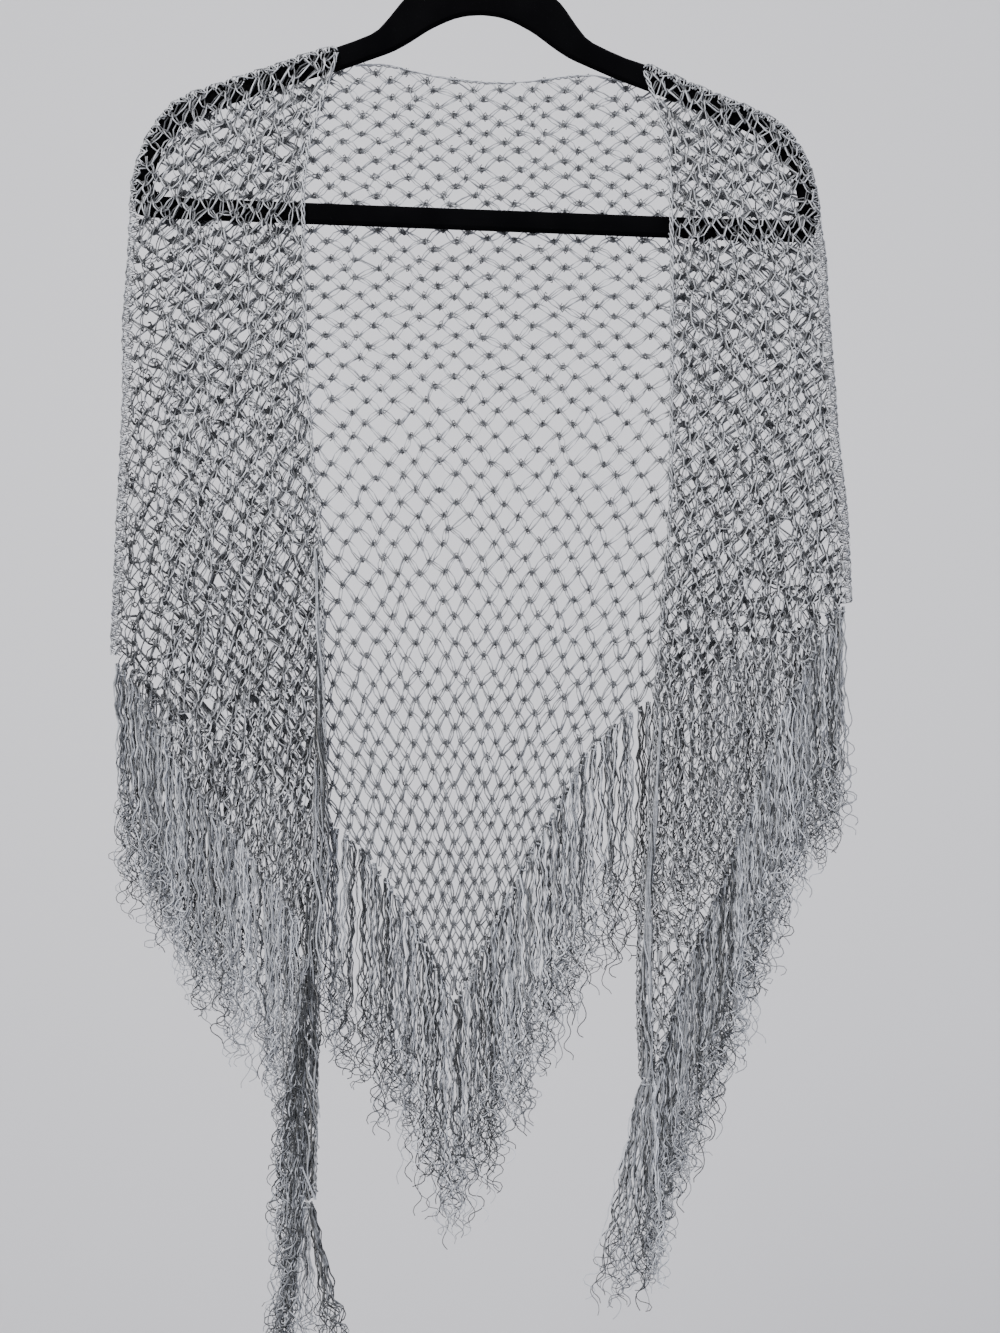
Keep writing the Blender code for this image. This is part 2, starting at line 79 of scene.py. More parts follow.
# %% Camera
camera_data = bpy.data.cameras.new("camera")
camera_data.sensor_fit = "VERTICAL"
camera_data.sensor_height = 36.0
camera_data.lens = 36.2
camera = bpy.data.objects.new("camera", camera_data)
camera.location = (0.0079, -0.88, -0.517)
camera.rotation_euler = (math.radians(90), 0.0, 0.0)
bpy.context.scene.collection.objects.link(camera)
bpy.context.scene.camera = camera

# %% [markdown]
# ## Small helpers for finishes
#
# A colour is picked in sRGB, as a picture shows it, and a shader wants linear light, so one function
# turns one into the other. A second one adds a node with its settings and links, which keeps each
# finish readable as a short list.


# %% Finish helpers
def linear(hex_colour):
    """The linear colour, with alpha, of an sRGB hex value."""
    channels = [int(hex_colour[i:i + 2], 16) / 255 for i in (1, 3, 5)]
    lit = [c / 12.92 if c <= 0.04045 else ((c + 0.055) / 1.055) ** 2.4 for c in channels]
    return (*lit, 1.0)


def add_node(tree, kind, settings=(), links=()):
    """Adds a node. settings are (property or input, value), and links are (input, output socket)."""
    node = tree.nodes.new(kind)
    for key, value in settings:
        if isinstance(key, str) and hasattr(node, key):
            setattr(node, key, value)
        else:
            node.inputs[key].default_value = value
    for key, output in links:
        tree.links.new(output, node.inputs[key])
    return node


def new_finish(name):
    """A new material, its tree and its Principled shader."""
    made = bpy.data.materials.new(name)
    made.use_nodes = True
    return made, made.node_tree, made.node_tree.nodes["Principled BSDF"]


# %% [markdown]
# ## The yarn
#
# The yarn is a soft acrylic and wool blend, spun loosely from a few plies and slightly brushed. Wool
# scatters light at its edges, which the eye reads as a pale bloom, so the shader has some sheen. The
# fleck is a noise of about 3 mm, which is how far one dyed fibre clump reaches. Each strand carries
# two attributes: `shade`, mostly painted shade with some random tone, which mixes the yarn's grey
# towards a deep grey and is highest in a knot, where strands press together and shade each other, and
# `along`, the length from its start, which gives the ply twist of about 3 mm a turn.

# %% Yarn finish
CLUMP_LENGTH = 3 * MM
TWIST_LENGTH = 3 * MM


def yarn_finish(name, light, deep, fleck, sheen):
    """Yarn between a light grey and a deep grey of painted shade. fleck is how uneven its dye is, and sheen
    its pale bloom.
    """
    made, tree, shader = new_finish(name)
    shade = add_node(tree, "ShaderNodeAttribute", [("attribute_name", "shade")])
    along = add_node(tree, "ShaderNodeAttribute", [("attribute_name", "along")])
    place = add_node(tree, "ShaderNodeTexCoord")
    clumps = add_node(
        tree, "ShaderNodeTexNoise", [("Scale", 1 / CLUMP_LENGTH), ("Detail", 2.0)],
        [("Vector", place.outputs["Object"])],
    )
    turns = add_node(
        tree, "ShaderNodeMath", [("operation", "MULTIPLY"), (1, 2 * math.pi / TWIST_LENGTH)],
        [(0, along.outputs["Fac"])],
    )
    plies = add_node(tree, "ShaderNodeMath", [("operation", "SINE")], [(0, turns.outputs[0])])
    uneven = add_node(
        tree, "ShaderNodeMath", [("operation", "MULTIPLY_ADD"), (1, fleck), (2, -fleck / 2)],
        [(0, clumps.outputs["Fac"])],
    )
    # How far the colour goes to the deep grey: the painted shade from the attribute plus the dye's fleck.
    pressed_and_painted_shade = add_node(
        tree, "ShaderNodeMath", [("operation", "ADD"), ("use_clamp", True)],
        [(0, shade.outputs["Fac"]), (1, uneven.outputs[0])],
    )
    colour = add_node(
        tree, "ShaderNodeMix", [("data_type", "RGBA"), (6, linear(light)), (7, linear(deep))],
        [(0, pressed_and_painted_shade.outputs[0])],
    )
    relief = add_node(
        tree, "ShaderNodeBump", [("Strength", 0.35), ("Distance", 0.15 * MM)], [("Height", plies.outputs[0])]
    )
    tree.links.new(colour.outputs[2], shader.inputs["Base Color"])
    tree.links.new(relief.outputs["Normal"], shader.inputs["Normal"])
    shader.inputs["Roughness"].default_value = 0.85
    shader.inputs["IOR"].default_value = 1.53
    shader.inputs["Specular IOR Level"].default_value = 0.2
    shader.inputs["Sheen Weight"].default_value = sheen
    shader.inputs["Sheen Roughness"].default_value = 0.5
    return made


# All three mix a light grey towards a deep grey where shade is painted. The back is one layer of plain
# yarn, soft and rather flat to the eye. The fronts hang before it, so their yarn's painted shade is the
# deepest. The fringe's yarn is loose and crinkled, and its light side is painted the brightest.
knit_yarn = yarn_finish("brushed wool blend yarn", "#B0B2B8", "#2E3035", fleck=0.45, sheen=0.2)
front_yarn = yarn_finish("brushed wool blend yarn, doubled, deeper painted shade", "#B6B8BE", "#191B1F", fleck=0.4, sheen=0.15)
fringe_yarn = yarn_finish("crinkled wool blend fringe yarn", "#B8BBC3", "#1D1F23", fleck=0.5, sheen=0.2)

# %% [markdown]
# ## Reading the cloth panels
#
# Each cloth panel of the frame is a thin wall. A ray shot through it along Y tells whether a place is
# on the cloth, and how far forward the middle of the wall lies there. That one question, asked often,
# is enough to lay a net over the panel and to find the panel's edges.

# %% Rays through the panels
BEFORE_Y = -0.1  # a ray starts here, in metres, well in front of all the cloth
SCAN_STEP = 0.002
HALVINGS = 9  # they narrow an edge down to a few thousandths of a millimetre
PANELS = {}


def panel_of(node_name):
    """The ray tree of a node, made once."""
    if node_name not in PANELS:
        bm = bmesh.new()
        bm.from_mesh(frame["nodes"][node_name].data)
        PANELS[node_name] = BVHTree.FromBMesh(bm)
        bm.free()
    return PANELS[node_name]


def depth_at(panel, x, z):
    """The y of the middle of the wall at this x and z in metres, or None beside the cloth."""
    near = panel.ray_cast(Vector((x, BEFORE_Y, z)), Vector((0, 1, 0)))[0]
    if near is None:
        return None
    far = panel.ray_cast(near + Vector((0, 0.0001, 0)), Vector((0, 1, 0)))[0]
    return near.y if far is None else (near.y + far.y) / 2


def edge_between(panel, inside, outside):
    """The last place on the cloth, going from a place on it to one beside it."""
    inside, outside = np.array(inside), np.array(outside)
    for _ in range(HALVINGS):
        middle = (inside + outside) / 2
        if depth_at(panel, middle[0], middle[1]) is None:
            outside = middle
        else:
            inside = middle
    return inside


def edge_scan(node_name, along, places, last):
    """The cloth's edge at each of these places along x or z: the first one met across it, or the last."""
    panel = panel_of(node_name)
    low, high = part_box(node_name)
    across = 2 if along == "x" else 0
    steps = np.arange(low[across] - SCAN_STEP, high[across] + 1.5 * SCAN_STEP, SCAN_STEP)
    if last:
        steps = steps[::-1]
    found = []
    for place in places:
        before = None
        for step in steps:
            at = (place, step) if along == "x" else (step, place)
            if depth_at(panel, *at) is not None:
                if before is not None:
                    found.append(edge_between(panel, at, before))
                break
            before = at
    return np.array(found)


# %% [markdown]
# ## Strands
#
# A strand is a line of points with a thickness at each one. All the strands of a piece become one mesh
# of plain edges, and a short node tree turns its edges into three-sided tubes with closed ends. At this
# size three sides, shaded smooth, read as round yarn, and they keep thousands of strands light.

# %% Strand meshes
def tube_tree():
    """Geometry nodes: edges to curves, each swept with a small triangle as wide as the strand."""
    tree = bpy.data.node_groups.new("strand tubes", "GeometryNodeTree")
    tree.interface.new_socket("Geometry", in_out="INPUT", socket_type="NodeSocketGeometry")
    tree.interface.new_socket("Geometry", in_out="OUTPUT", socket_type="NodeSocketGeometry")
    start = add_node(tree, "NodeGroupInput")
    lines = add_node(tree, "GeometryNodeMeshToCurve", links=[("Mesh", start.outputs[0])])
    thickness = add_node(
        tree, "GeometryNodeInputNamedAttribute", [("data_type", "FLOAT"), ("Name", "thickness")]
    )
    section = add_node(tree, "GeometryNodeCurvePrimitiveCircle", [("Resolution", 3), ("Radius", 1.0)])
    tubes = add_node(
        tree, "GeometryNodeCurveToMesh", [("Fill Caps", True)],
        [("Curve", lines.outputs[0]), ("Profile Curve", section.outputs[0]), ("Scale", thickness.outputs[0])],
    )
    smooth = add_node(tree, "GeometryNodeSetShadeSmooth", links=[(0, tubes.outputs[0])])
    end = add_node(tree, "NodeGroupOutput")
    tree.links.new(smooth.outputs[0], end.inputs[0])
    return tree


TUBES = tube_tree()


def strand_object(name, strands, finish):
    """One object of tubes. Each strand is a dict of points, thickness and shade, in millimetres."""
    points = np.concatenate([s["points"] for s in strands]) * MM
    along = np.concatenate([length_along(s["points"]) for s in strands]) * MM
    thickness = np.concatenate([s["thickness"] for s in strands]) * MM
    shade = np.concatenate([s["shade"] for s in strands])
    edges = []
    first = 0
    for s in strands:
        count = len(s["points"])
        starts = np.arange(first, first + count - 1)
        edges.append(np.column_stack([starts, starts + 1]))
        first += count
    mesh = bpy.data.meshes.new(name)
    mesh.from_pydata(points.tolist(), np.concatenate(edges).tolist(), [])
    for key, values in (("along", along), ("thickness", thickness), ("shade", shade)):
        mesh.attributes.new(key, "FLOAT", "POINT").data.foreach_set("value", values.astype(np.float32))
    made = bpy.data.objects.new(name, mesh)
    bpy.context.scene.collection.objects.link(made)
    made.modifiers.new("tubes", "NODES").node_group = TUBES
    graph = bpy.context.evaluated_depsgraph_get()
    tubes = bpy.data.meshes.new_from_object(made.evaluated_get(graph))
    made.modifiers.clear()
    made.data = tubes
    bpy.data.meshes.remove(mesh)
    tubes.name = name
    tubes.materials.clear()
    tubes.materials.append(finish)
    tubes.calc_loop_triangles()
    print(f"{name}: {len(strands)} strands, {len(tubes.loop_triangles)} triangles")
    return made


def length_along(points):
    """The length from a line's start to each of its points."""
    return np.concatenate([[0.0], np.cumsum(np.linalg.norm(np.diff(points, axis=0), axis=1))])


def strand(points, thickness, shade):
    """A strand whose thickness and shade are numbers, or one value a point."""
    count = len(points)
    return {
        "points": np.asarray(points, float),
        "thickness": np.full(count, thickness) if np.isscalar(thickness) else np.asarray(thickness, float),
        "shade": np.full(count, shade) if np.isscalar(shade) else np.asarray(shade, float),
    }


# %% [markdown]
# ## The net's pattern
#
# In knitting a yarn runs across the row in a wave, and the tops of its waves are caught by the row
# above. With very thick needles the loops open out to a net of diamonds. The rows here are staggered by
# half a stitch, so that a wave goes down to a knot of the next row and up again. Tables give the row
# height and the stitch width by height: the back is stretched wide on the hanger's bar and drawn
# together towards its point, and each front hangs with its stitches pulled long and narrow.

# %% Knots of a net
rng = np.random.default_rng(24)
LIFT = 0.7  # how far, in millimetres, a yarn stands off the cloth's middle, before it and behind it


def by_height(table, z):
    """A table's value at a height: rows of z and value, from the top down."""
    heights, values = zip(*table)
    return float(np.interp(-z, [-h for h in heights], values))


def knot_rows(net):
    """Rows of knots from the top down, each a list of x and z in millimetres."""
    rows = []
    z = net["top"]
    while z > net["bottom"]:
        width = by_height(net["widths"], z)
        drift = by_height(net["drift"], z)
        half = 0.5 * (len(rows) % 2)
        count = int((net["right"] - net["left"]) / width) + 4
        middle = (net["left"] + net["right"]) / 2
        first = round((middle - drift) / width - count / 2)
        steps = np.arange(first, first + count) + half
        x = drift + steps * width
        heights = z + net["slope"] * (x - middle)
        loose = rng.normal(0, net["uneven"], (count, 2)) * (width, by_height(net["rows"], z))
        rows.append(np.column_stack([x, heights]) + loose)
        z -= by_height(net["rows"], z)
    return rows


def wave_of(upper, lower, net):
    """One yarn's wave between two rows of knots: x, z, lift off the cloth, and nearness to a knot.

    opening is how much faster (or, below 0, slower) the yarn leaves a knot sideways, and head is half
    the width of the loop's round head.
    """
    turns = sorted([(x, z, 1.0) for x, z in upper] + [(x, z, -1.0) for x, z in lower])
    line = []
    for (xa, za, up), (xb, zb, _) in zip(turns, turns[1:]):
        for u in net["places"]:
            across = u + net["opening"] * math.sin(2 * math.pi * u) / (2 * math.pi)
            x = xa + (xb - xa) * across + net["head"] * math.sin(2 * math.pi * u)
            swing = 0.35 * math.cos(math.pi * u) + 0.65 * (1 - 2 * u)
            z = (za + zb) / 2 + (za - zb) / 2 * swing + up * net["overlap"] * swing
            line.append((x, z, LIFT * math.cos(2 * math.pi * u), abs(2 * u - 1)))
    return np.array(line)


# %% [markdown]
# ## Laying a yarn on the cloth
#
# A wave is drawn flat first and then laid on its panel: each point takes the panel's depth, and the
# line is cut where it runs off the cloth. The yarn is hardly twisted, so it is drawn as three thin
# plies. They bow apart between knots and are pressed together in each knot, thicker and darker with
# painted shade. On the fronts one bright ply lies before two that are dark with painted shade, because
# the cloth behind is in shadow there.

# %% Laid yarns
SHORTEST_RUN = 2.0
# Towards a knot the plies are pressed thicker and painted darker, up to the knot's painted shade.
PRESSED_FROM = 0.3  # how near a knot, from 0 midway to 1 in the knot, the plies begin to be pressed
KNOT_SHADE = 0.95
# The plies behind the bright one are darkened with painted shade.
BEFORE_PLY, BEHIND_PLY = -0.9, 0.5  # how far the bright ply and the dark ones lie off the cloth's middle


def laid(panel, line):
    """The stretches of a flat line that lie on the cloth, each with x, y, z and nearness to a knot."""
    runs = []
    run = []
    before = None
    for x, z, lift, near in line:
        y = depth_at(panel, x * MM, z * MM)
        if y is not None:
            if not run and before is not None:
                edge = edge_between(panel, (x * MM, z * MM), before)
                run.append((edge[0] / MM, y / MM, edge[1] / MM, near))
            run.append((x, y / MM + lift, z, near))
        elif run:
            edge = edge_between(panel, (run[-1][0] * MM, run[-1][2] * MM), (x * MM, z * MM))
            run.append((edge[0] / MM, run[-1][1], edge[1] / MM, near))
            runs.append(np.array(run))
            run = []
        before = (x * MM, z * MM)
    if run:
        runs.append(np.array(run))
    return [r for r in runs if length_along(r[:, :3])[-1] > SHORTEST_RUN]


def plies(run, net, deep):
    """The plies of a laid yarn: they close up in each knot, and bow apart between knots.

    The net's thickness is a ply's radius between knots and in one, and deep is how much painted shade
    the yarn has here. Near a knot the plies are painted darker, up to the knot's painted shade.
    """
    keys = ("plies", "bow", "thickness", "stray", "mottle", "painted_shade_behind")
    count, bow, thickness, stray, mottle, painted_shade_behind = (net[key] for key in keys)
    middle = run[:, :3]
    along = length_along(middle)
    ahead = np.gradient(middle, axis=0)
    side = np.column_stack([-ahead[:, 2], np.zeros(len(run)), ahead[:, 0]])
    side /= np.maximum(np.linalg.norm(side, axis=1), 1e-6)[:, None]
    start = rng.uniform(0, 2 * math.pi)
    open_here = 0.2 + 0.8 * (1 - run[:, 3] ** 2)
    made = []
    for ply in range(count):
        place = 2 * (ply + 0.5) / count - 1
        wander = np.sin(along / rng.uniform(5, 9) + rng.uniform(0, 6))
        off = side * (bow * open_here * (place + stray * wander))[:, None]
        layer = (BEHIND_PLY if ply else BEFORE_PLY) if painted_shade_behind else 0.0
        off[:, 1] += 0.5 * np.sin(along / 7 + ply * 2.4 + start) + layer
        pressed_and_painted_shade = np.clip((run[:, 3] - PRESSED_FROM) / 0.5, 0, 1) ** 1.5
        between = thickness[0] * by_height(net["stout"], run[0, 2])
        swelled = between + (thickness[1] - between) * pressed_and_painted_shade
        uneven = swelled * (1 + 0.15 * np.sin(along / 4.3 + ply * 2 + start))
        # A ply's grey: painted shade by height, more painted shade for the plies behind, and a random mottle.
        base = np.clip(deep + rng.uniform(-1, 1) * mottle + (painted_shade_behind if ply else 0.0), 0, 0.9)
        own = np.clip(base + mottle * np.sin(along / 5.3 + rng.uniform(0, 6)), 0, KNOT_SHADE)
        made.append(strand(middle + off, uneven, own + (KNOT_SHADE - own) * pressed_and_painted_shade))
    return made


def parts_where(whole, kept, reach=0):
    """The stretches of a strand whose points are kept, each going on for reach more points."""
    turns = np.flatnonzero(np.diff(kept)) + 1
    found = []
    for start, end in zip([0, *turns], [*turns, len(kept)]):
        stop = min(end + reach, len(kept))
        if kept[start] and stop - start > 1:
            found.append({key: values[start:stop] for key, values in whole.items()})
    return found


# %% [markdown]
# ## Knots, shadow and whole nets
#
# A tie in each knot of the back, drawn in painted shade, gives it the small dark star that shows there.
# Down the left fold the knitting is so loose that it shows as one open layer, so only some plies are
# kept in that strip. Where a front hangs before the back, the back's yarn gets a painted shadow and is
# drawn thicker: it lies in shadow there, and its fluff fills the gaps that would otherwise show the
# bright wall.

# %% Whole nets
OPEN_STRIP = ((-200, -300), (-230, -212), (-560, -214), (-600, -300))  # z and x of its right edge
TIE_THICKNESS = 0.42


def knot_tie(x, y, z, width, height):
    """The small upright loop in a knot, where one row's yarn passes through the other's, drawn in the knot's
    painted shade.
    """
    turn = rng.uniform(0, 6) + np.linspace(0, 1.7 * math.pi, 6)
    tall = height * rng.uniform(0.8, 1.2)
    slant = rng.uniform(-0.35, 0.35)
    across = x + width * np.cos(turn) + slant * tall * np.sin(turn)
    points = np.column_stack([across, y + 0.9 * np.sin(turn + 1), z + tall * np.sin(turn)])
    return strand(points, TIE_THICKNESS, KNOT_SHADE)


def shaded_by(strands, covers, extra, swell):
    """Paints shadow into the strands and thickens them where one of the cover panels hangs before them."""
    panels = [panel_of(cover) for cover in covers]
    for s in strands:
        hidden = np.array([
            any(depth_at(panel, x * MM, z * MM) is not None for panel in panels) for x, _, z in s["points"]
        ])
        s["shade"] = np.clip(s["shade"] + extra * hidden, 0, 1)
        s["thickness"] = s["thickness"] * (1 + swell * hidden)
    return strands


def net_strands(panel_name, net):
    """All the yarns of one panel. In the open strip a front keeps its plies that are dark with painted shade,
    and the back one ply.
    """
    panel = panel_of(panel_name)
    rows = knot_rows(net)
    made = []
    if net["tie"]:
        for x, z in np.concatenate(rows):
            y = depth_at(panel, x * MM, z * MM)
            if y is not None:
                made.append(knot_tie(x, y / MM, z, *net["tie"]))
    for upper, lower in zip(rows, rows[1:]):
        line = wave_of(upper, lower, net)
        deep = by_height(net["deep"], upper[:, 1].mean())
        for run in laid(panel, line):
            found = plies(run, net, deep)
            strip_x = by_height(OPEN_STRIP, run[0, 2])
            whole, parted = (found[1:], found[:1]) if net["painted_shade_behind"] else (found[:1], found[1:])
            made += whole
            for ply in parted:
                made += parts_where(ply, ply["points"][:, 0] > strip_x)
    return made


# %% [markdown]
# ## Edges
#
# A knitted edge is where the yarn turns back, so it is a line of tight loops. It is made of a few
# strands that run along the panel's edge, winding round each other.

# %% Edge strands
# Painted shade of the edge strands by height, deeper towards the bottom, where the fronts' edges roll.
EDGE_SHADES = ((-110, 0.3), (-230, 0.4), (-400, 0.55), (-600, 0.8))
EDGE_STEP = 3.0
EDGE_TURN = 17  # length along the edge, in millimetres, in which its strands wind round once


def edge_strands(panel_name, edge, count, winding, thickness):
    """Strands that wind along an edge of x, z points in metres, this far out from it in millimetres."""
    panel = panel_of(panel_name)
    edge = [place for place in edge if depth_at(panel, *place) is not None]
    middle = np.array([(x / MM, depth_at(panel, x, z) / MM, z / MM) for x, z in edge])
    along = length_along(middle)
    fine = np.linspace(0, along[-1], int(along[-1] / EDGE_STEP))
    middle = np.column_stack([np.interp(fine, along, middle[:, k]) for k in range(3)])
    made = []
    for i in range(count):
        turn = 2 * math.pi * (fine / EDGE_TURN + i / count) + 0.6 * np.sin(fine / 11)
        off = np.column_stack([np.cos(turn), np.sin(turn), 0.4 * np.sin(turn * 1.3)]) * winding
        # Painted shade: deeper down the edge, and on each strand where it winds round behind.
        shade = np.array([by_height(EDGE_SHADES, z) for z in middle[:, 2]])
        made.append(strand(middle + off, thickness, np.clip(shade + 0.25 * np.sin(turn), 0, 1)))
    return made


# %% [markdown]
# ## The turns over the hanger
#
# Over the hanger's arms and down both folds the cloth goes round from front to back. The frame has that
# stretch as a half-round strip. Its outermost line is read off the strip's own points. Strands are
# carried round it in crossing pairs, and a few more wander along it and make its outline bumpy.

# %% Turn strands
TURN_RADIUS = 4.8
ROUND_ANGLE = 97  # how far round the turn a strand reaches, either way from its outermost line
LONG_STRANDS = (-80, -25, 20, 80)  # angles round the turn of the strands that run along it


def rim_line(node_name, side):
    """The outermost line of a turn, from the neck down, in millimetres: x and z."""
    mesh = frame["nodes"][node_name].data
    found = {(round(v.co.x / MM, 2), round(v.co.z / MM, 2)) for v in mesh.vertices if abs(v.co.y) < 0.2 * MM}
    ordered = sorted(found, key=lambda at: side * at[0] - at[1])
    pairs = np.array(ordered[:len(ordered) // 2 * 2]).reshape(-1, 2, 2)
    return pairs.mean(axis=1)


def turn_strands(node_name, side, pitch, thickness):
    """The strands of a turn on the left side, -1, or on the right, 1: crossing pairs and long ones."""
    rim = rim_line(node_name, side)
    along = length_along(rim)
    ahead = np.gradient(rim, axis=0)
    ahead /= np.linalg.norm(ahead, axis=1)[:, None]
    inward = np.column_stack([ahead[:, 1], -ahead[:, 0]]) * side

    def round_place(length, angle, out=0.0):
        """A place on the turn: a length along the rim, an angle round it from -90 in front to 90 behind,
        and how far out of the turn it stands.
        """
        at = [np.interp(length, along, rim[:, k]) for k in (0, 1)]
        into = [np.interp(length, along, inward[:, k]) for k in (0, 1)]
        radius = TURN_RADIUS + out
        inside = TURN_RADIUS - radius * math.cos(math.radians(angle))
        return at[0] + into[0] * inside, radius * math.sin(math.radians(angle)), at[1] + into[1] * inside

    made = []
    for station in np.arange(pitch / 2, along[-1], pitch):
        for slant in (-1, 1):
            start = station + slant * rng.uniform(0.35, 0.6) * pitch
            end = station - slant * rng.uniform(0.35, 0.6) * pitch
            for ply in (-0.5, 0.5):
                points = []
                for u in np.linspace(0, 1, 9):
                    length = start + (end - start) * u + ply * (1 + abs(2 * u - 1))
                    angle = -ROUND_ANGLE + 2 * ROUND_ANGLE * u
                    points.append(round_place(np.clip(length, 0, along[-1]), angle))
                made.append(strand(points, thickness, 0.25 + 0.5 * (ply > 0)))
    for angle in LONG_STRANDS:
        wander, beat = rng.uniform(0, 6), rng.uniform(2.2, 2.8)
        lengths = np.arange(0, along[-1], 2.6)
        points = [
            round_place(s + 1.5 * math.sin(2 * s / beat), angle + 26 * math.sin(s / beat + wander),
                        1.0 * math.cos(s / beat + 2 * wander))
            for s in lengths
        ]
        made.append(strand(points, thickness, 0.45 + 0.3 * np.sin(lengths / 3.7 + wander)))
    return made


# %% [markdown]
# ## The back net
#
# The back is the whole width of the shawl, seen between the fronts with the pale ground behind it, so
# its diamonds show clearly. They are about 21 mm wide on the hanger and close to a third of that at the
# point. It is made in two halves, to keep each mesh light.
#
# A net's table starts with its field, the slope of its rows and how unevenly its knots lie. Then, by
# height, come its row height, stitch width and sideways drift. The values from places to overlap shape
# the wave. The rest is the yarn: how many plies, how far they bow and stray, their thickness between
# knots and in one, the size of the tie, the mottling, how much painted shade the plies behind get, and,
# by height, stoutness and painted shade.

# %% Back net
POINT_X = -22  # the shawl's point hangs a little left of the hook
NECK_X = (-0.087, 0.094)
NECK_STEP = 0.004
# The back's painted shadow and its swelling, where a front hangs before it.
HIDDEN_SHADE, HIDDEN_SWELL = 0.42, 0.8
BACK_NET = {
    "top": -108.0, "bottom": -745.0, "left": -250.0, "right": 240.0, "slope": 0.0, "uneven": 0.085,
    "rows": ((-108, 5.6), (-230, 6.0), (-300, 6.6), (-370, 8.6), (-440, 9.4), (-745, 9.3)),
    "widths": (
        (-108, 20.5), (-230, 20.8), (-300, 21.4), (-395, 17.4), (-500, 13.2), (-620, 9.4), (-745, 6.4),
    ),
    "drift": ((-108, POINT_X), (-745, POINT_X)),
    "places": (0.0, 0.17, 0.5, 0.83), "opening": 0.1, "head": 0.0, "overlap": 0.9, "plies": 3, "bow": 2.3,
    "stray": 0.45, "thickness": (0.36, 0.62), "tie": (1.2, 2.8), "mottle": 0.1, "painted_shade_behind": 0.0,
    "stout": ((-108, 1.0), (-380, 1.0), (-500, 1.15), (-745, 1.5)),
    "deep": ((-108, 0.16), (-240, 0.14), (-330, 0.04), (-470, 0.28), (-600, 0.52), (-745, 0.8)),
}

back_strands = shaded_by(
    net_strands("shawl_back", BACK_NET), ("shawl_front_left", "shawl_front_right"), HIDDEN_SHADE, HIDDEN_SWELL
)
neck = edge_scan("shawl_back", "x", np.arange(*NECK_X, NECK_STEP), last=True)
back_strands += edge_strands("shawl_back", neck, 3, 1.1, 0.5)
print("back yarns:", len(back_strands))


def halves(strands, x):
    """The parts of the strands left of x and right of it. Parts that met still share a stretch."""
    left, right = [], []
    for s in strands:
        beyond = s["points"][:, 0] > x
        left += parts_where(s, ~beyond, reach=1)
        right += parts_where(s, beyond, reach=1)
    return left, right


left_of_point, right_of_point = halves(back_strands, POINT_X)
back_left = strand_object("back_net_left", left_of_point, knit_yarn)
back_right = strand_object("back_net_right", right_of_point, knit_yarn)

# %% [markdown]
# ## The front nets
#
# Each front hangs from the fold and from the hanger's arm, so its own weight draws the stitches long
# and narrow. On the left front the rows slope down to the side, by about a quarter of the way across,
# and on the right one they run level and tighten towards the tip.

# %% Front nets
# On the fronts the painted shade by height grows towards the tips, and the plies behind get extra painted
# shade.
FRONT_STOUT = ((-80, 1.0), (-400, 1.05), (-905, 1.2))
LEFT_NET = {
    "top": -80.0, "bottom": -905.0, "left": -255.0, "right": -90.0, "slope": 0.296, "uneven": 0.16,
    "rows": ((-80, 6.7), (-250, 6.6), (-340, 6.0), (-905, 5.9)),
    "widths": ((-80, 11.7), (-250, 11.5), (-340, 9.4), (-905, 8.9)),
    "drift": ((-80, -98), (-300, -146), (-905, -214)),
    "places": (0.0, 0.2, 0.5, 0.8), "opening": -0.6, "head": 0.9, "overlap": 1.5, "plies": 3, "bow": 2.2,
    "stray": 0.6, "thickness": (0.42, 0.5), "tie": None, "mottle": 0.2, "painted_shade_behind": 0.62,
    "stout": FRONT_STOUT,
    "deep": ((-80, 0.08), (-260, 0.1), (-400, 0.14), (-560, 0.24), (-740, 0.34), (-905, 0.5)),
}
RIGHT_NET = {
    "top": -118.0, "bottom": -790.0, "left": 90.0, "right": 245.0, "slope": 0.0, "uneven": 0.16,
    "rows": ((-118, 6.0), (-300, 5.6), (-790, 5.3)),
    "widths": ((-118, 10.2), (-300, 9.4), (-480, 8.0), (-790, 7.0)),
    "drift": ((-118, 165), (-300, 190), (-480, 182), (-790, 168)),
    "places": (0.0, 0.25, 0.75), "opening": -0.7, "head": 0.6, "overlap": 1.4, "plies": 3, "bow": 2.0,
    "stray": 0.7, "thickness": (0.44, 0.5), "tie": None, "mottle": 0.2, "painted_shade_behind": 0.62,
    "stout": FRONT_STOUT,
    "deep": ((-118, 0.1), (-240, 0.12), (-400, 0.16), (-560, 0.28), (-740, 0.36), (-790, 0.4)),
}

# The heights, in metres, between which each front's inner edge is read off its panel.
LEFT_EDGE_Z, RIGHT_EDGE_Z = (-0.116, -0.866), (-0.128, -0.786)
EDGE_SCAN_STEP = -0.004

left_strands = net_strands("shawl_front_left", LEFT_NET)
left_edge = edge_scan("shawl_front_left", "z", np.arange(*LEFT_EDGE_Z, EDGE_SCAN_STEP), last=True)
left_strands += edge_strands("shawl_front_left", left_edge, 3, 1.1, 0.46)
left_strands += turn_strands("shawl_turn_left", -1, 7.0, 0.42)
front_left = strand_object("front_net_left", left_strands, front_yarn)

right_strands = net_strands("shawl_front_right", RIGHT_NET)
right_edge = edge_scan("shawl_front_right", "z", np.arange(*RIGHT_EDGE_Z, EDGE_SCAN_STEP), last=False)
right_strands += edge_strands("shawl_front_right", right_edge, 3, 1.1, 0.46)
right_strands += turn_strands("shawl_turn_right", 1, 6.0, 0.4)
front_right = strand_object("front_net_right", right_strands, front_yarn)

# %% [markdown]
# ## The fringe
#
# The fringe is cut yarn, knotted into the edge a few ends at a time. It keeps the crimp that it had in
# the ball, so no end hangs straight: each strand is drawn by its heading, which sways a little either
# way as it goes down. The strands of one lock sway together, and some ends curl up on themselves.

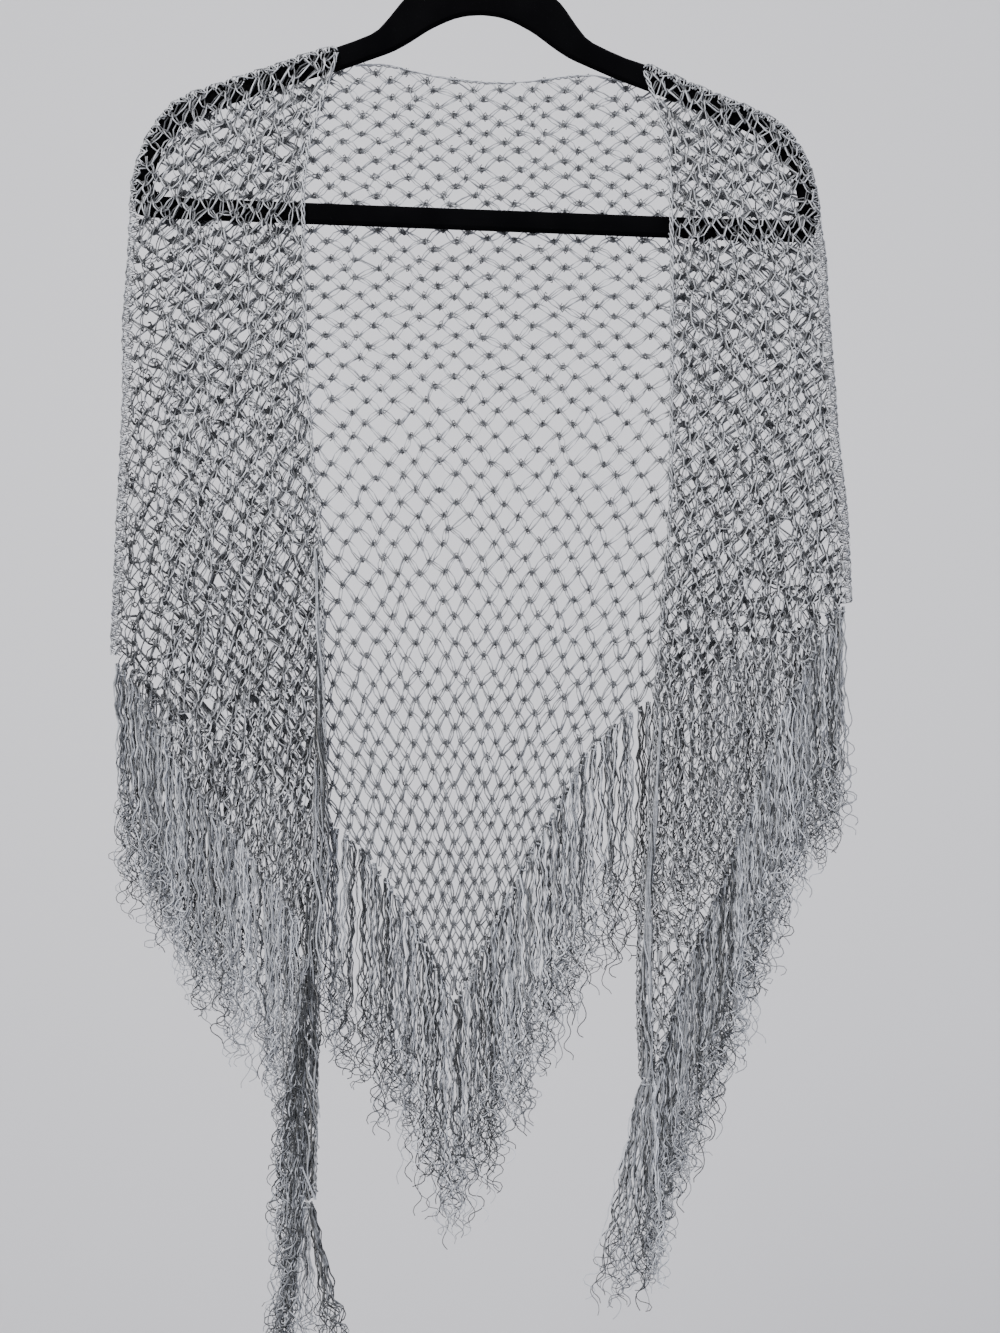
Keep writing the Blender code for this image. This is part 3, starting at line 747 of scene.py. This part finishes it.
# %% Fringe strands
STRAIGHT_STEP, CURLY_STEP = 7.0, 2.9
CRIMP_LENGTHS = (19.0, 41.0)
LOWEST_Z = -963.0  # about the height at which the longest ends stop
ROOT_SPREAD = 1.0  # how far before or behind the edge a strand starts
STRAND_RADII = (0.42, 0.62)


def crimped(root, length, lean, sways, curl, thickness, shade):
    """A strand that hangs from a root, with crimp all the way and curls towards its end.

    sways are the phases of its crimp, and curl is how far its end turns either way, in radians.
    """
    straight = length * rng.uniform(0.4, 0.62)
    drop = np.concatenate([np.arange(0, straight, STRAIGHT_STEP), np.arange(straight, length, CURLY_STEP)])
    step = np.diff(drop)
    middle = drop[:-1] + step / 2
    aside = lean + 0.26 * np.sin(2 * math.pi * middle / CRIMP_LENGTHS[0] + sways[0])
    aside += 0.14 * np.sin(2 * math.pi * middle / CRIMP_LENGTHS[1] + sways[1])
    curly = np.clip((middle - straight) / (length - straight), 0, 1)
    aside += curl * curly ** 0.7 * np.sin((middle - straight) / rng.uniform(3.2, 5.0) + sways[2])
    forward = 0.3 * np.sin(2 * math.pi * middle / CRIMP_LENGTHS[0] + sways[2])
    move = np.column_stack([np.sin(aside), np.sin(forward), -np.cos(aside) * np.cos(forward)]) * step[:, None]
    points = root + np.concatenate([np.zeros((1, 3)), np.cumsum(move, axis=0)])
    thin = 1 - 0.35 * (drop / length) ** 2
    return strand(points, thickness * thin, shade)


def lock_strands(root, length, lean, strands, width, tone_and_painted_shade):
    """One lock: a knot round the edge, and its strands, which share most of their crimp."""
    shared = rng.uniform(0, 2 * math.pi, 3)
    # A lock's grey spreads at random round the given one, which also holds the painted shade of its place.
    tone_and_painted_shade = rng.uniform(tone_and_painted_shade - 0.22, tone_and_painted_shade + 0.22)
    made = []
    turn = np.linspace(0, 2.6 * math.pi, 9)
    knot = np.column_stack([1.5 * np.cos(turn), 1.5 * np.sin(turn), -1.4 - turn / 3])
    made.append(strand(root + knot, 0.55, 0.5))
    for i in range(strands):
        spread = ((i + 0.5) / strands - 0.5) * width
        start = root + (spread * 0.5, rng.uniform(-ROOT_SPREAD, ROOT_SPREAD), rng.uniform(-1, 0.5))
        own = min(length * rng.uniform(0.8, 1.12), 1.18 * (start[2] - LOWEST_Z))
        curl = rng.choice((-1, 1)) * rng.uniform(0.7, 1.9)
        aim = lean + spread * 0.006 + rng.normal(0, 0.03)
        sways = shared + rng.normal(0, 0.9, 3)
        shade = np.clip(tone_and_painted_shade + rng.normal(0, 0.3), 0, 1)
        made.append(crimped(start, own, aim, sways, curl, rng.uniform(*STRAND_RADII), shade))
    return made


def fringe_strands(edge, pitch, length, leans, strands, depth, tone_and_painted_shade):
    """Locks at even steps along an edge of x, z points in metres.

    leans are the first and the last lock's, in radians. strands are those of a lock, depth is the y of
    the edge in millimetres, and tone is how deep the locks' grey is: their own tone together with painted
    shade, deepest where the fringe is dense.
    """
    line = np.asarray(edge) / MM
    along = length_along(line)
    places = np.arange(pitch / 2, along[-1], pitch)
    made = []
    for place in places:
        share = place / along[-1]
        x, z = (np.interp(place, along, line[:, k]) for k in (0, 1))
        root = np.array([x + rng.normal(0, 0.4), depth, z])
        lean = leans[0] + (leans[1] - leans[0]) * share
        own_length = length * rng.uniform(0.93, 1.05)
        made += lock_strands(root, own_length, lean, strands, pitch, tone_and_painted_shade)
    return made


# %% [markdown]
# ## The back fringe
#
# The back's two hems run from the folds down to the point, and their locks hang straight down. Each hem
# is read off the panel's lower edge, so the knots sit on the cloth.

# %% Back fringe
BACK_LEFT_X, BACK_RIGHT_X = -0.242, 0.2335  # how far out the hems are read, just inside the folds
BACK_FRINGE = {"pitch": 6.6, "length": 172, "leans": (0, 0), "strands": 7, "depth": 6.5, "tone_and_painted_shade": 0.74}
left_hem = edge_scan("shawl_back", "x", np.arange(BACK_LEFT_X, POINT_X * MM, 0.004), last=False)
right_hem = edge_scan("shawl_back", "x", np.arange(POINT_X * MM, BACK_RIGHT_X, 0.004), last=False)
print("hem points:", len(left_hem), len(right_hem))
back_left_fringe = strand_object("back_fringe_left", fringe_strands(left_hem, **BACK_FRINGE), fringe_yarn)
back_right_fringe = strand_object("back_fringe_right", fringe_strands(right_hem, **BACK_FRINGE), fringe_yarn)

# %% [markdown]
# ## The rolled edges
#
# Plain knitting curls at its edge, and on this shawl each front's inner edge rolls up more and more on
# the way down, until the left tail is one rope, dark with painted shade. A roll is drawn as long strands
# that wind slowly round the edge's line and stand further from it as the roll grows.

# %% Rolled edges
TAIL_DEPTH = -6.0
ROLL_STEP = 4.2
ROLL_GROWS = 230.0  # a roll is at its full thickness after this length
LEFT_ROLL = (
    (-112, -440), (-110, -520), (-109, -580), (-110, -640), (-114, -700), (-116.5, -760), (-117, -820),
    (-117, -868),
)
RIGHT_ROLL = ((113, -550), (109, -610), (104.5, -660), (104, -705), (104, -750), (104.5, -787))


def rolled_strands(panel_name, line, count, radius, thickness, tone_and_painted_shade):
    """Long strands that wind slowly round a line of x, z points in millimetres, as in a rolled edge."""
    panel = panel_of(panel_name)
    line = np.asarray(line, float)
    along = length_along(line)
    fine = np.arange(0, along[-1], ROLL_STEP)
    x, z = (np.interp(fine, along, line[:, k]) for k in (0, 1))
    depths = [depth_at(panel, a * MM, b * MM) for a, b in zip(x, z)]
    y = np.array([TAIL_DEPTH if depth is None else depth / MM for depth in depths])
    made = []
    for i in range(count):
        turn = 2 * math.pi * i / count + fine / rng.uniform(18, 34) + 0.5 * np.sin(fine / rng.uniform(7, 12))
        out = radius * rng.uniform(0.3, 1.0) * (1 + 0.2 * np.sin(fine / rng.uniform(5, 9) + i))
        out *= np.clip(fine / ROLL_GROWS, 0.15, 1)
        points = np.column_stack([x + out * np.cos(turn), y - 1.0 + 0.55 * out * np.sin(turn), z])
        # A roll strand's grey: the roll's tone and painted shade, spread at random.
        made.append(strand(points, thickness, np.clip(tone_and_painted_shade + rng.normal(0, 0.25), 0, 1)))
    return made


# %% [markdown]
# ## The front fringe
#
# Each front's fringe hangs from its hem. On the left one more locks hang down the side of the tail, and
# both tails end in a brush, where many locks start from a few millimetres of edge and fan out.

# %% Left front's fringe
LEFT_HEM_X = (-0.242, -0.1225)
TAIL_SIDE_Z = (-0.70, -0.866)
HEM_DEPTH = -6.0
front_left_hem = edge_scan("shawl_front_left", "x", np.arange(*LEFT_HEM_X, 0.003), last=False)
tail_side = edge_scan("shawl_front_left", "z", np.arange(*TAIL_SIDE_Z, -0.006), last=False)
tail_end = np.array([(-0.121, -0.866), (-0.1135, -0.866)])
front_left_strands = fringe_strands(front_left_hem, 5.6, 154, (0.06, 0.0), 6, HEM_DEPTH, tone_and_painted_shade=0.52)
# The tail's side and end locks and its roll get a deeper grey: painted shade of the dense, rolled tail.
front_left_strands += fringe_strands(tail_side, 9.0, 125, (-0.12, -0.1), 8, HEM_DEPTH - 3.0, tone_and_painted_shade=0.84)
front_left_strands += fringe_strands(tail_end, 1.5, 112, (-0.3, 0.28), 12, HEM_DEPTH - 1.0, tone_and_painted_shade=0.78)
front_left_strands += rolled_strands("shawl_front_left", LEFT_ROLL, 18, 6.5, 0.62, 0.88)
front_left_fringe = strand_object("front_fringe_left", front_left_strands, fringe_yarn)

# %% Right front's fringe
RIGHT_HEM_X = (0.2335, 0.1085)
front_right_hem = edge_scan("shawl_front_right", "x", np.arange(*RIGHT_HEM_X, -0.003), last=False)
right_tip = np.array([(0.108, -0.786), (0.101, -0.786)])
front_right_strands = fringe_strands(front_right_hem, 5.4, 154, (0.0, -0.04), 7, HEM_DEPTH, tone_and_painted_shade=0.62)
front_right_strands += fringe_strands(right_tip, 1.2, 160, (0.06, -0.2), 10, HEM_DEPTH - 1.0, tone_and_painted_shade=0.66)
front_right_strands += rolled_strands("shawl_front_right", RIGHT_ROLL, 14, 5.0, 0.6, 0.65)
front_right_fringe = strand_object("front_fringe_right", front_right_strands, fringe_yarn)

# %% [markdown]
# ## The hanger
#
# The hanger is moulded plastic covered in black nylon flock: short fibres that stand up from the glue,
# so it has hardly any gloss and a faint bloom at grazing angles. The hook is steel wire with a thin
# coat of chrome, a little duller where hands have touched it.

# %% Hanger finishes
PILE_SIZE = 0.9 * MM
RUBBED_SIZE = 28 * MM
HANDLED_SIZE = 6 * MM


def flock_finish():
    """Flock: it gives the eye a depth without shine, with a fine pile and slightly rubbed patches."""
    made, tree, shader = new_finish("black nylon flock")
    place = add_node(tree, "ShaderNodeTexCoord")
    pile = add_node(
        tree, "ShaderNodeTexNoise", [("Scale", 1 / PILE_SIZE), ("Detail", 3.0)],
        [("Vector", place.outputs["Object"])],
    )
    rubbed = add_node(
        tree, "ShaderNodeTexNoise", [("Scale", 1 / RUBBED_SIZE), ("Detail", 2.0)],
        [("Vector", place.outputs["Object"])],
    )
    colour = add_node(
        tree, "ShaderNodeMix", [("data_type", "RGBA"), (6, linear("#010102")), (7, linear("#060607"))],
        [(0, rubbed.outputs["Fac"])],
    )
    relief = add_node(
        tree, "ShaderNodeBump", [("Strength", 0.5), ("Distance", 0.2 * MM)], [("Height", pile.outputs["Fac"])]
    )
    tree.links.new(colour.outputs[2], shader.inputs["Base Color"])
    tree.links.new(relief.outputs["Normal"], shader.inputs["Normal"])
    shader.inputs["Roughness"].default_value = 0.95
    shader.inputs["IOR"].default_value = 1.53
    shader.inputs["Specular IOR Level"].default_value = 0.01
    shader.inputs["Sheen Weight"].default_value = 0.005
    shader.inputs["Sheen Roughness"].default_value = 0.6
    return made


def chrome_finish():
    """Chrome: the one bright, sharp reflection on the piece, uneven where it was handled."""
    made, tree, shader = new_finish("chromed steel wire")
    place = add_node(tree, "ShaderNodeTexCoord")
    handled = add_node(
        tree, "ShaderNodeTexNoise", [("Scale", 1 / HANDLED_SIZE), ("Detail", 3.0)],
        [("Vector", place.outputs["Object"])],
    )
    rough = add_node(
        tree, "ShaderNodeMapRange", [("To Min", 0.1), ("To Max", 0.26)], [("Value", handled.outputs["Fac"])]
    )
    tree.links.new(rough.outputs[0], shader.inputs["Roughness"])
    shader.inputs["Base Color"].default_value = linear("#D4D6DA")
    shader.inputs["Metallic"].default_value = 1.0
    return made


# %% [markdown]
# ## The hanger's frame
#
# The frame is one moulding of two shells, with rounded rims where the flock lies. Its own solid has the
# right outline, so a copy of it is merged and its edges are rounded more finely.

# %% Hanger frame
SHARP_ANGLE = 25
ROUNDING = 0.55


def finished(bm, name, finish, sharp=40):
    """A mesh object from a bmesh, smooth but for corners sharper than this many degrees."""
    mesh = bpy.data.meshes.new(name)
    bm.to_mesh(mesh)
    bm.free()
    mesh.materials.append(finish)
    mesh.shade_smooth()
    mesh.set_sharp_from_angle(angle=math.radians(sharp))
    made = bpy.data.objects.new(name, mesh)
    bpy.context.scene.collection.objects.link(made)
    mesh.calc_loop_triangles()
    print(f"{name}: {len(mesh.loop_triangles)} triangles")
    return made


def rounded_frame(finish):
    """A copy of the frame's solid, merged, with its long edges rounded twice over."""
    bm = bmesh.new()
    bm.from_mesh(frame["nodes"]["hanger_body"].data)
    bmesh.ops.remove_doubles(bm, verts=bm.verts, dist=0.01 * MM)
    bmesh.ops.dissolve_limit(bm, angle_limit=math.radians(1), verts=bm.verts, edges=bm.edges)
    edges = [e for e in bm.edges if e.is_manifold and e.calc_face_angle() > math.radians(SHARP_ANGLE)]
    bmesh.ops.bevel(
        bm, geom=edges, offset=ROUNDING * MM, offset_type="OFFSET", segments=2, profile=0.5, affect="EDGES",
        material=-1, clamp_overlap=True,
    )
    return finished(bm, "hanger_frame", finish)


frame_piece = rounded_frame(flock_finish())

# %% [markdown]
# ## The hook
#
# The hook is one length of plated wire, bent round a form and pushed into the frame's hump. A round
# section is spun about the middle of the bow, which gives the bend its true curve, and its last face
# is then drawn on, point by point, down the neck.

# %% Hook
TILT = math.radians(2.2)  # the hanger hangs a little askew, right arm lower
WIRE = 1.8  # radius of the wire
WIRE_SIDES = 16
BOW = 19.8  # radius of the bow, to the middle of the wire
BOW_STEPS = 48
BOW_MIDDLE_Z = WIRE - BOW
TIP_ANGLE, LOW_ANGLE = 197, -48
NECK_POINTS = (
    (13.4, -32.6), (10.2, -34.6), (7.3, -36.9), (4.3, -39.6), (2.0, -42.8), (0.5, -47.0), (0.0, -54.2),
)
NECK_AIM = (0.0, -60.0)
TIP_ROUNDING = 1.1
ABOVE_NECK_Z = -0.04  # of the two ends of the wire, only the tip lies above this height, in metres


def hook_wire(finish):
    """The hook's wire, from its tip round the bow and down into the hump."""
    bm = bmesh.new()
    section = bmesh.ops.create_circle(bm, cap_ends=True, segments=WIRE_SIDES, radius=WIRE * MM)["verts"]
    middle = Vector((0, 0, BOW_MIDDLE_Z * MM))
    bmesh.ops.translate(bm, verts=section, vec=middle + Vector((BOW * MM, 0, 0)))
    turn = Matrix.Rotation(math.radians(-TIP_ANGLE), 3, "Y")
    bmesh.ops.rotate(bm, verts=section, cent=middle, matrix=turn)
    swept = math.radians(TIP_ANGLE - LOW_ANGLE)
    bmesh.ops.spin(
        bm, geom=bm.verts[:] + bm.edges[:] + bm.faces[:], cent=middle, axis=(0, 1, 0), angle=swept,
        steps=BOW_STEPS, use_merge=False, use_duplicate=False,
    )
    low = math.radians(LOW_ANGLE)
    end_place = Vector((BOW * math.cos(low), 0, BOW_MIDDLE_Z + BOW * math.sin(low))) * MM
    ends = [f for f in bm.faces if len(f.verts) == WIRE_SIDES]
    end = min(ends, key=lambda f: (f.calc_center_median() - end_place).length)
    heading = low - math.pi / 2
    for (x, z), (ahead_x, ahead_z) in zip(NECK_POINTS, (*NECK_POINTS[1:], NECK_AIM)):
        end = bmesh.ops.extrude_discrete_faces(bm, faces=[end])["faces"][0]
        new_heading = math.atan2(ahead_z - z, ahead_x - x)
        at = end.calc_center_median()
        bend = Matrix.Rotation(heading - new_heading, 3, "Y")
        bmesh.ops.rotate(bm, verts=end.verts, cent=at, matrix=bend)
        bmesh.ops.translate(bm, verts=end.verts, vec=Vector((x * MM, 0, z * MM)) - at)
        heading = new_heading
    end_edges = [e for e in bm.edges if any(len(f.verts) == WIRE_SIDES for f in e.link_faces)]
    tip_edges = [e for e in end_edges if e.verts[0].co.z > ABOVE_NECK_Z]
    bmesh.ops.bevel(
        bm, geom=tip_edges, offset=TIP_ROUNDING * MM, offset_type="OFFSET", segments=3, profile=0.5,
        affect="EDGES", material=-1,
    )
    bmesh.ops.rotate(bm, verts=bm.verts, cent=(0, 0, 0), matrix=Matrix.Rotation(TILT, 3, "Y"))
    bmesh.ops.recalc_face_normals(bm, faces=bm.faces)
    return finished(bm, "hook_wire", finish, sharp=60)


hook_piece = hook_wire(chrome_finish())
hook_corners = [hook_piece.bound_box[0], hook_piece.bound_box[6]]
print("hook box:", [[round(c / MM, 1) for c in corner] for corner in hook_corners])

# %% [markdown]
# ## What each piece stands for
#
# Every piece rides on the one body and stands for its own solids, which are hidden in its place.

# %% Riding and replacing
FOR_NODES = (
    (back_left, "shawl_yarn", ("shawl_back",)),
    (back_right, "shawl_yarn", ("shawl_back",)),
    (front_left, "shawl_yarn", ("shawl_front_left", "shawl_turn_left")),
    (front_right, "shawl_yarn", ("shawl_front_right", "shawl_turn_right")),
    (back_left_fringe, "fringe_yarn", ("fringe_back_left",)),
    (back_right_fringe, "fringe_yarn", ("fringe_back_right",)),
    (front_left_fringe, "fringe_yarn", ("fringe_front_left",)),
    (front_right_fringe, "fringe_yarn", ("fringe_front_right",)),
    (frame_piece, "hanger_flock", ("hanger_body",)),
    (hook_piece, "hook_metal", ("hanger_hook",)),
)
for piece, slot_name, nodes in FOR_NODES:
    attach(piece, "root")
    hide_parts(*nodes)

# %% [markdown]
# ## Ground and light
#
# A pale wall far behind and a pale floor far below stand in for a studio. The main light is large and
# comes from above, in front and to the left, and a weaker one fills from the right.

# %% Studio
def plain_plane(name, size, place, turn, colour):
    """A square of painted ground, in metres, that belongs to the studio and not to the part."""
    bm = bmesh.new()
    bmesh.ops.create_grid(bm, x_segments=1, y_segments=1, size=size / 2)
    bmesh.ops.rotate(bm, verts=bm.verts, cent=(0, 0, 0), matrix=turn)
    bmesh.ops.translate(bm, verts=bm.verts, vec=place)
    mesh = bpy.data.meshes.new(name)
    bm.to_mesh(mesh)
    bm.free()
    made, _, shader = new_finish(name + " paint")
    shader.inputs["Base Color"].default_value = linear(colour)
    shader.inputs["Roughness"].default_value = 0.9
    mesh.materials.append(made)
    plane = bpy.data.objects.new(name, mesh)
    bpy.context.scene.collection.objects.link(plane)
    return plane


def area_light(name, place, target, size, power, colour):
    """A round light of this diameter in metres and power in watts, turned to its target."""
    data = bpy.data.lights.new(name, "AREA")
    data.shape = "DISK"
    data.size = size
    data.energy = power
    data.color = linear(colour)[:3]
    made = bpy.data.objects.new(name, data)
    made.location = place
    made.rotation_euler = (Vector(target) - Vector(place)).to_track_quat("-Z", "Y").to_euler()
    bpy.context.scene.collection.objects.link(made)


plain_plane("floor", 14.0, (0, 0, -2.3), Matrix.Identity(3), "#D8D7D9")
plain_plane("wall", 14.0, (0, 2.6, 0), Matrix.Rotation(math.radians(90), 3, "X"), "#D8D7DA")
area_light("key", (-0.9, -1.6, 1.3), (0, 0, -0.5), 0.9, 125, "#FFFDF8")
area_light("fill", (1.8, -1.4, -0.3), (0, 0, -0.5), 1.6, 20, "#EEF3FF")
world = bpy.data.worlds.new("pale room")
bpy.context.scene.world = world
world.use_nodes = True
world.node_tree.nodes["Background"].inputs["Color"].default_value = linear("#E4E6EB")
world.node_tree.nodes["Background"].inputs["Strength"].default_value = 1.4
